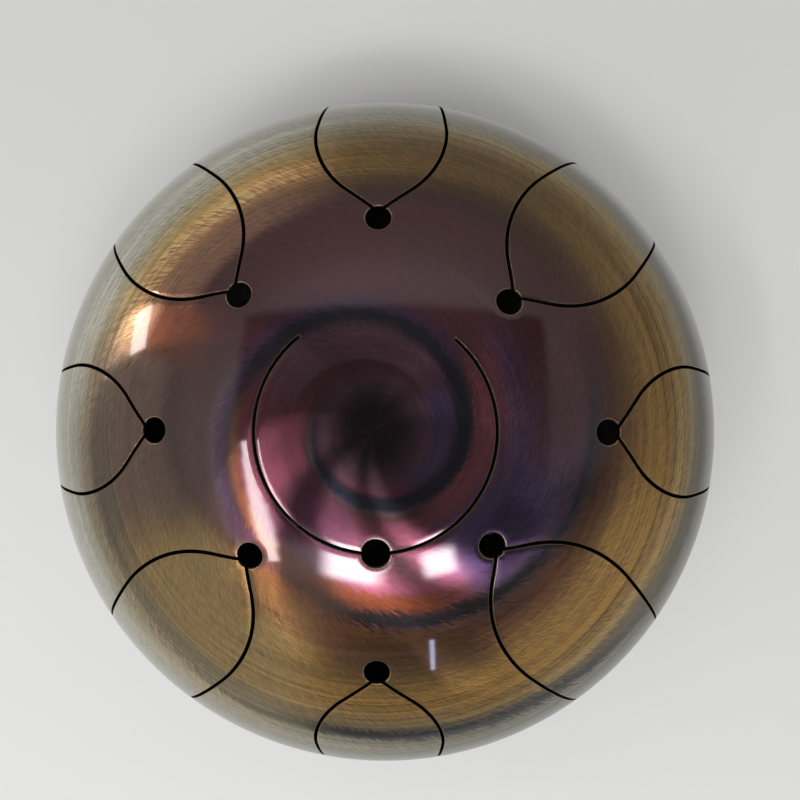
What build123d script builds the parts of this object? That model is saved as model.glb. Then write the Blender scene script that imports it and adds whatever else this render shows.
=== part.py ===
# A steel tongue drum: two dished steel shells welded rim to rim, with eight tongues cut round the
# upper shell and one in its crown, a sound port underneath and four rubber feet.
# Millimetres, +Z up, origin on the floor under the middle of the drum. Bearings are in degrees,
# counterclockwise from +X seen from above, and -Y is the player's side.
import os
from math import asin, cos, degrees, radians, sin, sqrt, tan

from build123d import *

os.makedirs("parts", exist_ok=True)

# Shells
drum_diameter = 330.0  # outside, at the seam
crown_radius = 350.0  # outside radius of the shallow crown
knuckle_radius = 65.0  # outside radius of the rounded side
sheet = 1.5  # sheet thickness of both shells
floor_gap = 4.0  # from the floor to the lowest point of the lower shell

# Seam weld
weld_depth = 0.8  # depth of the groove between the two rims
weld_crown = 0.25  # how far the dressed bead stands proud

# Slots and holes that free the tongues
slot_width = 1.4
tip_hole_diameter = 11.0
centre_hole_diameter = 12.0
root_gap = 0.15  # between a tongue's root and the shell, where the real sheet bends

# Outer tongues: bearing of each, and how far out its tip hole is, from the centre slot to the seam
tongue_bearings = (-44.3, -135.3, 44.1, 135.3, 89.5, 179.9, -0.3, -89.9)
tip_span_shares = (0.157, 0.215, 0.248, 0.283, 0.3625, 0.403, 0.430, 0.471)
root_rise = 22.0  # height of the roots above the seam
root_half_width = 27.0  # half the distance between the two slots at the root, along the sheet
root_taper = 4.9  # degrees by which each slot leans out from its root to the shoulder
tip_half_angle = 50.0  # degrees between each slot and the tongue's middle line, at the tip
tip_setback = 2.7  # from the tip hole's centre to the point where the two slots would meet
shoulder_radius_share = 0.53  # of the tongue's length along the sheet
edge_sample_shares = (0, 0.13, 0.26, 0.38, 0.5, 0.62, 0.8, 1)  # of a slot's length, from the tip

# Centre tongue: a disc that stays joined along a chord
centre_slot_radius = 51.5  # plan radius of the slot's middle line
centre_root_bearing = 88.8  # of the chord's middle
centre_root_half_angle = 39.05  # degrees, from the chord's middle to the end of each slot
centre_hole_bearing = -89.6

# Sound port and its rubber edge trim
port_diameter = 80.0
trim_wall = 2.5  # rubber inside the port's edge
trim_grip = 6.5  # how far the two lips reach over the sheet
trim_lip = 2.2  # thickness of each lip
trim_round = 1.0  # rounding of the trim's corners

# Feet and their fasteners
foot_count = 4
foot_first_bearing = 45.0
foot_pitch_radius = 85.0  # plan radius at which each foot's screw crosses the shell
foot_diameter = 28.0  # at the shell
foot_draft = 8.0  # degrees of taper towards the floor
foot_cushion = 6.0  # rubber between the shell and the screw's head
foot_recess_diameter = 13.0
foot_round = 1.5  # rounding of the foot's lower edge
screw_diameter = 5.0
screw_clearance = 0.25  # radial, in the foot and in the shell
screw_head_diameter = 9.5
screw_head_height = 3.2
screw_socket_flats = 3.0
screw_socket_depth = 1.8
screw_end = 2.0  # length of thread past the nut
washer_diameter = 10.0
washer_thickness = 1.0
nut_flats = 8.0
nut_height = 4.0
stack_gap = 0.05  # between stacked fasteners, and between a thread and its nut

overrun = 10.0  # by which cutting shapes pass what they cut

# Worked out from the sizes above
drum_radius = drum_diameter / 2
knuckle_centre = drum_radius - knuckle_radius
tangent_angle = asin(knuckle_centre / (crown_radius - knuckle_radius))
tangent_radius = crown_radius * sin(tangent_angle)
tangent_arc = crown_radius * tangent_angle
dish_height = crown_radius - sqrt((crown_radius - knuckle_radius) ** 2 - knuckle_centre**2)
seam_height = floor_gap + dish_height
drum_height = seam_height + dish_height
seam_plane = Plane.XY.offset(seam_height)
root_height = seam_height + root_rise
port_radius = port_diameter / 2
cut_height = dish_height + overrun


def slope_at(plan_radius):
    """Angle of the shell's outer surface from level, in radians, at a plan radius."""
    if plan_radius < tangent_radius:
        return asin(plan_radius / crown_radius)
    return asin((plan_radius - knuckle_centre) / knuckle_radius)


def rise_at(plan_radius):
    """Height of the shell's outer surface above the seam at a plan radius."""
    slope = slope_at(plan_radius)
    if plan_radius < tangent_radius:
        return dish_height - crown_radius * (1 - cos(slope))
    return knuckle_radius * cos(slope)


def arc_at(plan_radius):
    """Length along the outer surface from the top of the crown to a plan radius."""
    slope = slope_at(plan_radius)
    if plan_radius < tangent_radius:
        return crown_radius * slope
    return tangent_arc + knuckle_radius * (slope - tangent_angle)


def plan_radius_at(arc):
    """Plan radius reached after a length along the outer surface from the top of the crown."""
    if arc < tangent_arc:
        return crown_radius * sin(arc / crown_radius)
    return knuckle_centre + knuckle_radius * sin(tangent_angle + (arc - tangent_arc) / knuckle_radius)


def level_plane(bearing, height):
    """Level plane with its x axis along a bearing."""
    along = (cos(radians(bearing)), sin(radians(bearing)), 0)
    return Plane(origin=(0, 0, height), x_dir=along, z_dir=(0, 0, 1))


def surface_plane(bearing, plan_radius, upper=True):
    """Plane that touches the outside of a shell, with its z axis pointing away from the drum."""
    side = 1 if upper else -1
    slope = slope_at(plan_radius)
    east, north = cos(radians(bearing)), sin(radians(bearing))
    touch = (plan_radius * east, plan_radius * north, seam_height + side * rise_at(plan_radius))
    outward = (sin(slope) * east, sin(slope) * north, side * cos(slope))
    return Plane(origin=touch, x_dir=(-north, east, 0), z_dir=outward)


# Blank of one shell, before any cutting
with BuildPart() as shell_blank:
    with BuildSketch(Plane.XZ):
        with BuildLine():
            crown_centre_point = (0, drum_height - crown_radius)
            knuckle_centre_point = (knuckle_centre, seam_height)
            crown_turn = degrees(tangent_angle)
            knuckle_turn = 90 - crown_turn
            outer_crown = CenterArc(crown_centre_point, crown_radius, knuckle_turn, crown_turn)
            outer_side = CenterArc(knuckle_centre_point, knuckle_radius, 0, knuckle_turn)
            inner_crown = CenterArc(crown_centre_point, crown_radius - sheet, knuckle_turn, crown_turn)
            inner_side = CenterArc(knuckle_centre_point, knuckle_radius - sheet, 0, knuckle_turn)
            Line(outer_side @ 0, inner_side @ 0)
            Line(outer_crown @ 1, inner_crown @ 1)
        make_face()
    revolve(axis=Axis.Z)

# Weld bead that fills the groove between the two rims, dressed nearly flush
with BuildPart() as seam_weld:
    with BuildSketch(Plane.XZ):
        with BuildLine():
            upper_toe = (drum_radius, seam_height + weld_depth)
            lower_toe = (drum_radius, seam_height - weld_depth)
            Polyline(upper_toe, (drum_radius - weld_depth, seam_height), lower_toe)
            ThreePointArc(lower_toe, (drum_radius + weld_crown, seam_height), upper_toe)
        make_face()
    revolve(axis=Axis.Z)
seam_weld.part.label = "seam_weld"
export_step(seam_weld.part, "parts/seam_weld.step")


def slot_side(tip_radius, growth):
    """Plan points of one slot's side, from the tongue's middle line at the tip out to its root.

    The slot is laid out on the flattened sheet: a straight run from the tip, a round shoulder and a
    straight taper to the root. growth moves the side away from the tongue, square to the slot.
    """
    lean, taper = radians(tip_half_angle), radians(root_taper)
    root_arc = arc_at(knuckle_centre + sqrt(knuckle_radius**2 - root_rise**2))
    tip_arc = arc_at(tip_radius)
    start = tip_arc + tip_setback - growth / sin(lean)
    root_half = root_half_width + growth / cos(taper)
    corner = (root_half + tan(taper) * root_arc + tan(lean) * start) / (tan(lean) + tan(taper))
    shoulder = (corner, tan(lean) * (corner - start))
    shoulder_radius = shoulder_radius_share * (root_arc - tip_arc) + growth
    with BuildLine() as flat_side:
        FilletPolyline((start, 0), shoulder, (root_arc, root_half), radius=shoulder_radius)
    points = []
    for share in edge_sample_shares:
        arc, half_width, _ = flat_side.wire() @ share
        plan_radius = plan_radius_at(arc)
        turn = half_width / plan_radius
        points.append((plan_radius * cos(turn), plan_radius * sin(turn)))
    return points


def tongue_prism(bearing, tip_radius, growth, height):
    """Upright block over an outer tongue's outline, from a height up past the crown."""
    side = slot_side(tip_radius, growth)
    opposite = [(along, -across) for along, across in side]
    root_along, root_across = side[-1]
    end_along = root_along + knuckle_radius
    with BuildPart() as prism:
        with BuildSketch(level_plane(bearing, height)):
            with BuildLine():
                Spline(*side)
                Spline(*opposite)
                Polyline(
                    (root_along, root_across),
                    (end_along, root_across),
                    (end_along, -root_across),
                    (root_along, -root_across),
                )
            make_face()
        extrude(amount=cut_height)
    return prism.part


def centre_prism(growth, setback):
    """Upright block over the centre tongue's disc, short of its root chord by a setback."""
    chord = centre_slot_radius * cos(radians(centre_root_half_angle))
    with BuildPart() as prism:
        with BuildSketch(level_plane(centre_root_bearing, seam_height)):
            Circle(centre_slot_radius + growth)
            with Locations((chord - setback, 0)):
                beyond = (Align.MIN, Align.CENTER)
                Rectangle(drum_diameter, drum_diameter, align=beyond, mode=Mode.SUBTRACT)
        extrude(amount=cut_height)
    return prism.part


tip_span = drum_radius - centre_slot_radius
tip_radii = [centre_slot_radius + share * tip_span for share in tip_span_shares]
tip_planes = [surface_plane(b, r) for b, r in zip(tongue_bearings, tip_radii)]
centre_hole_plane = surface_plane(centre_hole_bearing, centre_slot_radius)
drill_depth = sheet + overrun
half_slot = slot_width / 2
openings = [tongue_prism(b, r, half_slot, root_height) for b, r in zip(tongue_bearings, tip_radii)]
openings.append(centre_prism(half_slot, 0))

# Upper shell, with an opening for each tongue
with BuildPart() as upper_shell:
    add(shell_blank.part)
    add([seam_weld.part] + openings, mode=Mode.SUBTRACT)
    with Locations(*tip_planes):
        Hole(tip_hole_diameter / 2, depth=drill_depth)
    with Locations(centre_hole_plane):
        Hole(centre_hole_diameter / 2, depth=drill_depth)
upper_shell.part.label = "upper_shell"
export_step(upper_shell.part, "parts/upper_shell.step")

# Outer tongues, longest first
for index, tip_plane in enumerate(tip_planes):
    outline = tongue_prism(tongue_bearings[index], tip_radii[index], -half_slot, root_height + root_gap)
    with BuildPart() as tongue:
        add(shell_blank.part)
        add(outline, mode=Mode.INTERSECT)
        with Locations(tip_plane):
            Hole(tip_hole_diameter / 2, depth=drill_depth)
    tongue.part.label = f"tongue_{index + 1}"
    export_step(tongue.part, f"parts/tongue_{index + 1}.step")

# Centre tongue
centre_outline = centre_prism(-half_slot, root_gap)
with BuildPart() as centre_tongue:
    add(shell_blank.part)
    add(centre_outline, mode=Mode.INTERSECT)
    with Locations(centre_hole_plane):
        Hole(centre_hole_diameter / 2, depth=drill_depth)
centre_tongue.part.label = "centre_tongue"
export_step(centre_tongue.part, "parts/centre_tongue.step")

# Planes of the four feet, touching the outside of the lower shell
foot_bearings = [foot_first_bearing + 360 / foot_count * n for n in range(foot_count)]
foot_planes = [surface_plane(b, foot_pitch_radius, upper=False) for b in foot_bearings]
screw_radius = screw_diameter / 2
screw_hole_radius = screw_radius + screw_clearance

# Lower shell, with the sound port and the foot screws' holes
with BuildPart() as lower_shell:
    mirror(shell_blank.part, about=seam_plane)
    add(seam_weld.part, mode=Mode.SUBTRACT)
    with BuildSketch(Plane.XY):
        Circle(port_radius)
    extrude(amount=seam_height, mode=Mode.SUBTRACT)
    with Locations(*foot_planes):
        Hole(screw_hole_radius, depth=drill_depth)
lower_shell.part.label = "lower_shell"
export_step(lower_shell.part, "parts/lower_shell.step")

# Rubber trim that grips the port's edge
with BuildPart() as port_trim:
    trim_inner = port_radius - trim_wall
    trim_outer = port_radius + trim_grip
    trim_bottom = seam_height - rise_at(port_radius) - trim_lip
    trim_top = seam_height - rise_at(trim_outer) + sheet / cos(slope_at(trim_outer)) + trim_lip
    with BuildSketch(Plane.XZ):
        with Locations(((trim_inner + trim_outer) / 2, (trim_bottom + trim_top) / 2)):
            RectangleRounded(trim_outer - trim_inner, trim_top - trim_bottom, trim_round)
    revolve(axis=Axis.Z)
    add(lower_shell.part, mode=Mode.SUBTRACT)
port_trim.part.label = "port_trim"
export_step(port_trim.part, "parts/port_trim.step")

# Rubber feet: each stands square to the shell and is cut level at the floor
foot_slope = slope_at(foot_pitch_radius)
foot_seat_height = seam_height - rise_at(foot_pitch_radius)
foot_reach = (foot_seat_height + foot_diameter * sin(foot_slope)) / cos(foot_slope) + sheet
for number, foot_plane in enumerate(foot_planes, 1):
    with BuildPart() as foot:
        with BuildSketch(foot_plane.offset(-sheet / 2)):
            Circle(foot_diameter / 2)
        extrude(amount=foot_reach, taper=foot_draft)
        split(bisect_by=Plane.XY, keep=Keep.TOP)
        fillet(foot.edges().group_by(Axis.Z)[0], foot_round)
        with BuildSketch(foot_plane.offset(foot_cushion)):
            Circle(foot_recess_diameter / 2)
        extrude(amount=foot_reach, mode=Mode.SUBTRACT)
        with Locations(foot_plane.offset(foot_cushion)):
            Hole(screw_hole_radius, depth=foot_cushion + drill_depth)
        add(lower_shell.part, mode=Mode.SUBTRACT)
    foot.part.label = f"foot_{number}"
    export_step(foot.part, f"parts/foot_{number}.step")

# Fasteners, stacked inwards from the shell's inner face
washer_face = -(sheet + stack_gap)
nut_face = washer_face - washer_thickness - stack_gap
screw_tip = nut_face - nut_height - screw_end
on_top = (Align.CENTER, Align.CENTER, Align.MIN)
hanging = (Align.CENTER, Align.CENTER, Align.MAX)

# Foot screws: socket-head screws put in from below
with BuildPart() as foot_screws:
    with Locations(*[plane.offset(foot_cushion) for plane in foot_planes]):
        Cylinder(screw_head_diameter / 2, screw_head_height, align=on_top)
        Cylinder(screw_radius, foot_cushion - screw_tip, align=hanging)
    with BuildSketch(*[plane.offset(foot_cushion + screw_head_height) for plane in foot_planes]):
        RegularPolygon(screw_socket_flats / 2, 6, major_radius=False)
    extrude(amount=-screw_socket_depth, mode=Mode.SUBTRACT)
foot_screws.part.label = "foot_screws"
export_step(foot_screws.part, "parts/foot_screws.step")

# Washers on the inner face of the lower shell
with BuildPart() as foot_washers:
    with BuildSketch(*[plane.offset(washer_face) for plane in foot_planes]):
        Circle(washer_diameter / 2)
        Circle(screw_hole_radius, mode=Mode.SUBTRACT)
    extrude(amount=-washer_thickness)
foot_washers.part.label = "foot_washers"
export_step(foot_washers.part, "parts/foot_washers.step")

# Nuts on the washers
with BuildPart() as foot_nuts:
    with BuildSketch(*[plane.offset(nut_face) for plane in foot_planes]):
        RegularPolygon(nut_flats / 2, 6, major_radius=False)
        Circle(screw_radius + stack_gap, mode=Mode.SUBTRACT)
    extrude(amount=-nut_height)
foot_nuts.part.label = "foot_nuts"
export_step(foot_nuts.part, "parts/foot_nuts.step")
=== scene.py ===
# Steel tongue drum: lacquered, flame tinted sheet over a welded lens of two shells.
# Sizes are in millimetres up to the moment a mesh is made. Bearings are in degrees, counterclockwise from +X.
from math import acos, asin, atan2, cos, degrees, e, hypot, pi, radians, sin, sqrt, tan

import bpy
import numpy as np
from mathutils import Matrix, Vector
from mathutils.geometry import delaunay_2d_cdt


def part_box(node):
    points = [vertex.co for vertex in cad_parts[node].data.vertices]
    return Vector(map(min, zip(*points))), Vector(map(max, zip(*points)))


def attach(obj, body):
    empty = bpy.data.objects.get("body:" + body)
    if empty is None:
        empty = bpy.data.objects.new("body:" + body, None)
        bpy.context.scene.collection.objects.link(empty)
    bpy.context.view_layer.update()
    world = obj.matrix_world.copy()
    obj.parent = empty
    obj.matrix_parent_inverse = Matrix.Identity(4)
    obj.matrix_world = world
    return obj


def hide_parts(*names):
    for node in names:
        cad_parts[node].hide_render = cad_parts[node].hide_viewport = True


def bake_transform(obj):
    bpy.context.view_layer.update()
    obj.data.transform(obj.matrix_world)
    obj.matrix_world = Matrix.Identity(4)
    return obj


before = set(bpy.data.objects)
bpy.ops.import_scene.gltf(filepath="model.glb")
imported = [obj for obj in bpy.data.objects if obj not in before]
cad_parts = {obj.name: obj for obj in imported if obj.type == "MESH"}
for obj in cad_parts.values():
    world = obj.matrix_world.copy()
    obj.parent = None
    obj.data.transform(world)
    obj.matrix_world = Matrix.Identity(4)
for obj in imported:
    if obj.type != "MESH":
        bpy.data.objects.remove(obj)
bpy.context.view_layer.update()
mm = 0.001
scene = bpy.context.scene
scene.view_settings.view_transform = "Standard"
print("frame loaded:", len(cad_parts), "nodes")

# the two dished shells, alike but for their openings
shell = dict(
    radius=165.0,  # outside, at the seam
    crownRadius=350.0,
    sideRadius=65.0,
    sheet=1.5,
    seamGroove=0.8,  # each rim stops this far from the seam
    edgeRound=0.22,  # worn round of a cut edge
    rollWidth=2.4,  # the sheet rolls over a little beside a cut,
    rollAngle=2.6,  # by this many degrees at the edge
    openPitch=4.0,  # between points on the open sheet
    cutPitch=1.5,  # between points along a cut
    samePoint=0.02,  # points closer than this are one
    shoulderGap=0.9,  # share of the roll's width that its inner points keep off a cut
    ringGap=0.45,  # share of their pitch that the open sheet's points keep off the others
)
sharp, worn, eased = 0, 1, 3  # how round a cut edge is, as a multiple of edgeRound
outside, cut, within = range(3)  # which of a piece's finishes a face takes
weldLow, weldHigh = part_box("seam_weld")
seam = (weldLow.z + weldHigh.z) / 2 / mm
sideCentre = shell["radius"] - shell["sideRadius"]
tangentAngle = asin(sideCentre / (shell["crownRadius"] - shell["sideRadius"]))
tangentArc = shell["crownRadius"] * tangentAngle
dish = shell["crownRadius"] - sqrt((shell["crownRadius"] - shell["sideRadius"]) ** 2 - sideCentre**2)
crownCentre = seam + dish - shell["crownRadius"]
seamArc = tangentArc + shell["sideRadius"] * (pi / 2 - tangentAngle)


def planAt(arc):  # plan radius after a length along the sheet from the top of the crown
    if arc < tangentArc:
        return shell["crownRadius"] * sin(arc / shell["crownRadius"])
    return sideCentre + shell["sideRadius"] * sin(tangentAngle + (arc - tangentArc) / shell["sideRadius"])


def arcAt(plan):  # the other way round
    if plan < planAt(tangentArc - 1e-6):
        return shell["crownRadius"] * asin(plan / shell["crownRadius"])
    return tangentArc + shell["sideRadius"] * (asin((plan - sideCentre) / shell["sideRadius"]) - tangentAngle)


def polar(arc, bearing):  # a point of the flattened sheet
    return (arc * cos(radians(bearing)), arc * sin(radians(bearing)))


def onSheet(flat):  # place, outward normal, downhill and sideways directions of flattened points
    arc = np.hypot(flat[:, 0], flat[:, 1])
    bearing = np.arctan2(flat[:, 1], flat[:, 0])
    onCrown = arc < tangentArc
    sideSlope = tangentAngle + (arc - tangentArc) / shell["sideRadius"]
    slope = np.where(onCrown, arc / shell["crownRadius"], sideSlope)
    east, north, none = np.cos(bearing), np.sin(bearing), np.zeros_like(arc)
    normal = np.stack([np.sin(slope) * east, np.sin(slope) * north, np.cos(slope)], 1)
    downhill = np.stack([np.cos(slope) * east, np.cos(slope) * north, -np.sin(slope)], 1)
    sideways = np.stack([-north, east, none], 1)
    sidePivot = np.stack([sideCentre * east, sideCentre * north, none + seam], 1)
    pivot = np.where(onCrown[:, None], [[0.0, 0.0, crownCentre]], sidePivot)
    reach = np.where(onCrown, shell["crownRadius"], shell["sideRadius"])
    return pivot + reach[:, None] * normal, normal, downhill, sideways


def spread(count, start, stop):  # evenly spaced numbers, both ends included
    return [start + (stop - start) * n / count for n in range(count + 1)]


def straightRun(a, b, pitch):
    count = max(1, round(hypot(b[0] - a[0], b[1] - a[1]) / pitch))
    return [(a[0] + (b[0] - a[0]) * t, a[1] + (b[1] - a[1]) * t) for t in spread(count, 0, 1)]


def roundRun(centre, radius, start, stop, pitch):  # angles in degrees
    count = max(2, round(abs(radians(stop - start)) * radius / pitch))
    return [(centre[0] + radius * cos(radians(a)), centre[1] + radius * sin(radians(a)))
            for a in spread(count, start, stop)]


def chain(*runs):  # joins runs of (points, edge round) into one loop and drops doubled points
    def same(a, b):
        return hypot(a[0] - b[0], a[1] - b[1]) < shell["samePoint"]

    loop = []
    for points, rounded in runs:
        for point in points:
            if loop and same(point, loop[-1][0]):
                loop[-1] = (loop[-1][0], min(loop[-1][1], rounded))
            else:
                loop.append((point, rounded))
    first, last = loop[0][0], loop[-1][0]
    if same(first, last):
        loop[0] = (first, min(loop[0][1], loop[-1][1]))
        loop.pop()
    return loop


def inside(points, loops):  # even-odd test of many points against all loops
    result = np.zeros(len(points), bool)
    x, y = points[:, 0], points[:, 1]
    for loop in loops:
        for (ax, ay), (bx, by) in zip(loop, np.roll(loop, -1, axis=0)):
            if ay != by:
                crosses = (ay > y) != (by > y)
                result ^= crosses & (x < (bx - ax) * (y - ay) / (by - ay) + ax)
    return result


# A closed piece of sheet metal with rounded cut edges. Loops run on the flattened sheet, metal on their left.
def sheetPiece(name, loops, finishes, upper=True):
    edges = [np.array([point for point, _ in loop]) for loop in loops]
    rounds = [np.array([r for _, r in loop]) * shell["edgeRound"] for loop in loops]
    outs, insets = [], []
    for edge, rounding in zip(edges, rounds):
        run = np.roll(edge, -1, axis=0) - np.roll(edge, 1, axis=0)
        run /= np.linalg.norm(run, axis=1)[:, None]
        out = np.stack([run[:, 1], -run[:, 0]], 1)
        outs.append(out)
        insets.append(edge - out * rounding[:, None])
    edge, out, rounding = np.concatenate(edges), np.concatenate(outs), np.concatenate(rounds)
    inset = np.concatenate(insets)
    starts = np.cumsum([0] + [len(loop) for loop in loops])
    following = np.concatenate([np.roll(np.arange(a, b), -1) for a, b in zip(starts, starts[1:])])

    # points on the open sheet, in rings
    pitch = shell["openPitch"]
    rings = [(0.0, 0.0)]
    for ring in range(1, int(seamArc / pitch) + 1):
        arc = ring * pitch
        count = 6 * round(2 * pi * arc / pitch / 6)
        rings += [polar(arc, 360 * (n + ring % 2 / 2) / count) for n in range(count)]
    rings = np.array(rings)
    low, high = inset.min(0), inset.max(0)
    rings = rings[((rings > low) & (rings < high)).all(1)]
    rings = rings[inside(rings, insets)]
    shoulder = (inset - out * shell["rollWidth"])[rounding > 0]
    shoulder = shoulder[inside(shoulder, insets)] if len(shoulder) else np.zeros((0, 2))

    def clearOf(points, others, gap):  # the points that stand this far off all the others
        return points[np.array([np.min(np.hypot(*(others - point).T)) > gap for point in points], bool)]

    shoulder = clearOf(shoulder, inset, shell["rollWidth"] * shell["shoulderGap"])
    rings = clearOf(rings, np.concatenate([inset, shoulder]), pitch * shell["ringGap"])
    flat = np.concatenate([inset, shoulder, rings])
    cuts = list(zip(range(len(edge)), following.tolist()))
    madePoints, _, triangles, *_ = delaunay_2d_cdt([Vector(p) for p in flat], cuts, [], 0, 1e-5)
    assert len(madePoints) == len(flat), f"{name}: cut edges cross"
    triangles = np.array(triangles)
    triangles = triangles[inside(flat[triangles].mean(1), insets)]

    # faces of the outside, the rounds, the walls and the inside
    total, rim = len(flat), len(edge)
    place, normal, _, _ = onSheet(flat)
    rimPlace, rimNormal, downhill, sideways = onSheet(edge)
    unit = edge / np.hypot(edge[:, 0], edge[:, 1])[:, None]
    away = ((out * unit).sum(1)[:, None] * downhill
            + (out[:, 1] * unit[:, 0] - out[:, 0] * unit[:, 1])[:, None] * sideways)
    normal[:rim] += away * (np.tan(radians(shell["rollAngle"])) * (rounding > 0))[:, None]
    normal /= np.linalg.norm(normal, axis=1)[:, None]
    backFlat = np.concatenate([edge, flat[rim:]])
    backPlace, backNormal, _, _ = onSheet(backFlat)
    lipPlace = rimPlace - rimNormal * rounding[:, None]
    verts = np.concatenate([place, lipPlace, backPlace - backNormal * shell["sheet"]])
    lip, back = total, total + rim  # where the wall's top points and the inside's points start
    faces, normals, kinds, creases = [], [], [], []

    def addFace(corners, cornerNormals, kind):
        faces.append(corners)
        normals.extend(cornerNormals)
        kinds.append(kind)

    for a, b, c in triangles.tolist():
        addFace((a, b, c), (normal[a], normal[b], normal[c]), outside)
        addFace((back + c, back + b, back + a), (-backNormal[c], -backNormal[b], -backNormal[a]), within)
    for i, j in cuts:
        if rounding[i] > 0 and rounding[j] > 0:
            addFace((i, lip + i, lip + j, j), (normal[i], away[i], away[j], normal[j]), cut)
        elif rounding[i] > 0:
            addFace((i, lip + i, j), (normal[i], away[i], normal[j]), cut)
        elif rounding[j] > 0:
            addFace((i, lip + j, j), (normal[i], away[j], normal[j]), cut)
        top = [lip + n if rounding[n] > 0 else n for n in (i, j)]
        addFace((top[0], back + i, back + j, top[1]), (away[i], away[i], away[j], away[j]), cut)
        creases += [(back + i, back + j)] + ([] if rounding[i] > 0 and rounding[j] > 0 else [tuple(top)])
    verts, normals = verts * mm, np.array(normals)
    if not upper:  # mirrored about the seam
        verts[:, 2] = 2 * seam * mm - verts[:, 2]
        normals[:, 2] *= -1
        flipped, turned, at = [], [], 0
        for face in faces:
            flipped.append(tuple(reversed(face)))
            turned.extend(normals[at:at + len(face)][::-1])
            at += len(face)
        faces, normals = flipped, np.array(turned)
    return addMesh(name, verts, faces, finishes, kinds, normals, creases)


def addMesh(name, verts, faces, finishes, kinds=None, normals=None, creases=()):
    used = sorted({v for face in faces for v in face})
    renumber = {v: n for n, v in enumerate(used)}
    mesh = bpy.data.meshes.new(name)
    renumbered = [tuple(renumber[v] for v in face) for face in faces]
    mesh.from_pydata([tuple(verts[v]) for v in used], [], renumbered)
    for finish in finishes:
        mesh.materials.append(finish)
    mesh.polygons.foreach_set("use_smooth", [True] * len(faces))
    if kinds is not None:
        mesh.polygons.foreach_set("material_index", kinds)
    if normals is not None:
        creased = {frozenset((renumber[a], renumber[b])) for a, b in creases}
        mesh.edges.foreach_set("use_edge_sharp", [frozenset(edge.vertices) in creased for edge in mesh.edges])
        mesh.normals_split_custom_set([tuple(n) for n in normals])
    mesh.use_auto_texspace = False  # brushing runs round the drum's own axis on every piece
    mesh.texspace_location = (0, 0, seam * mm)
    mesh.texspace_size = (shell["radius"] * mm, shell["radius"] * mm, dish * mm)
    mesh.update()
    piece = bpy.data.objects.new(name, mesh)
    scene.collection.objects.link(piece)
    return piece


# Shader maths: a socket that adds its own nodes
class Shade:
    def __init__(self, tree, socket=None):
        self.tree = tree
        self.socket = socket

    def node(self, kind, settings=None, values=None, out=0):
        made = self.tree.nodes.new(kind)
        for key, value in (settings or {}).items():
            if key == "stops":
                ramp = made.color_ramp
                while len(ramp.elements) < len(value):
                    ramp.elements.new(1.0)
                for element, (position, colour) in zip(ramp.elements, value):
                    element.position = position
                    element.color = (*colour, 1.0)
            else:
                setattr(made, key, value)
        for key, value in (values or {}).items():
            if isinstance(value, Shade):
                self.tree.links.new(value.socket, made.inputs[key])
            elif isinstance(value, tuple) and made.inputs[key].type == "RGBA":
                made.inputs[key].default_value = (*value, 1.0)
            else:
                made.inputs[key].default_value = value
        return Shade(self.tree, made.outputs[out] if made.outputs else None)

    def split(self):  # x, y and z of a vector
        sides = self.node("ShaderNodeSeparateXYZ", {}, {0: self}).socket.node.outputs
        return [Shade(self.tree, side) for side in sides]

    def maths(self, operation, *values):
        return self.node("ShaderNodeMath", dict(operation=operation), dict(enumerate(values)))

    def __add__(self, value):
        return self.maths("ADD", self, value)

    __radd__ = __add__

    def __mul__(self, value):
        return self.maths("MULTIPLY", self, value)

    __rmul__ = __mul__

    def __sub__(self, value):
        return self.maths("SUBTRACT", self, value)

    def __rsub__(self, value):
        return self.maths("SUBTRACT", value, self)

    def __truediv__(self, value):
        return self.maths("DIVIDE", self, value)

    def __rtruediv__(self, value):
        return self.maths("DIVIDE", value, self)

    def step(self, low, high, least=0.0, most=1.0):  # smooth least to most as this goes from low to high
        settings = dict(interpolation_type="SMOOTHSTEP")
        return self.node("ShaderNodeMapRange", settings, {0: self, 1: low, 2: high, 3: least, 4: most})

    def range(self, low, high, *falls):  # rises from low to high and falls over the two that may follow
        rises = self.step(low, high)
        return rises * (1 - self.step(*falls)) if falls else rises

    def ramp(self, stops):
        return self.node("ShaderNodeValToRGB", dict(stops=stops), {"Fac": self}, "Color")

    def power(self, exponent):
        return self.maths("POWER", self, exponent)

    def atLeast(self, value):
        return self.maths("MAXIMUM", self, value)

    def naturalLog(self):
        return self.maths("LOGARITHM", self, e)

    def vector(self, x, y, z):
        return self.node("ShaderNodeCombineXYZ", {}, {0: x, 1: y, 2: z})

    def noise(self, vector, scale, detail=2.0):
        return self.node("ShaderNodeTexNoise", {}, dict(Vector=vector, Scale=scale, Detail=detail))

    def mix(self, a, b):  # colour a to colour b as this goes from 0 to 1
        return self.node("ShaderNodeMix", dict(data_type="RGBA"), {0: self, 6: a, 7: b}, 2)

    def scaled(self, colour):  # the colour times this
        return self.node("ShaderNodeVectorMath", dict(operation="SCALE"), {0: colour, "Scale": self})

    def bump(self, height, distance):
        return self.node("ShaderNodeBump", {}, dict(Height=height, Distance=distance))


def newFinish(name):
    finish = bpy.data.materials.new(name)
    finish.use_nodes = True
    finish.node_tree.nodes.clear()
    return finish, Shade(finish.node_tree)


def closeFinish(shade, values):
    surface = shade.node("ShaderNodeBsdfPrincipled", {}, values)
    shade.node("ShaderNodeOutputMaterial", {}, {"Surface": surface})


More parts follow.
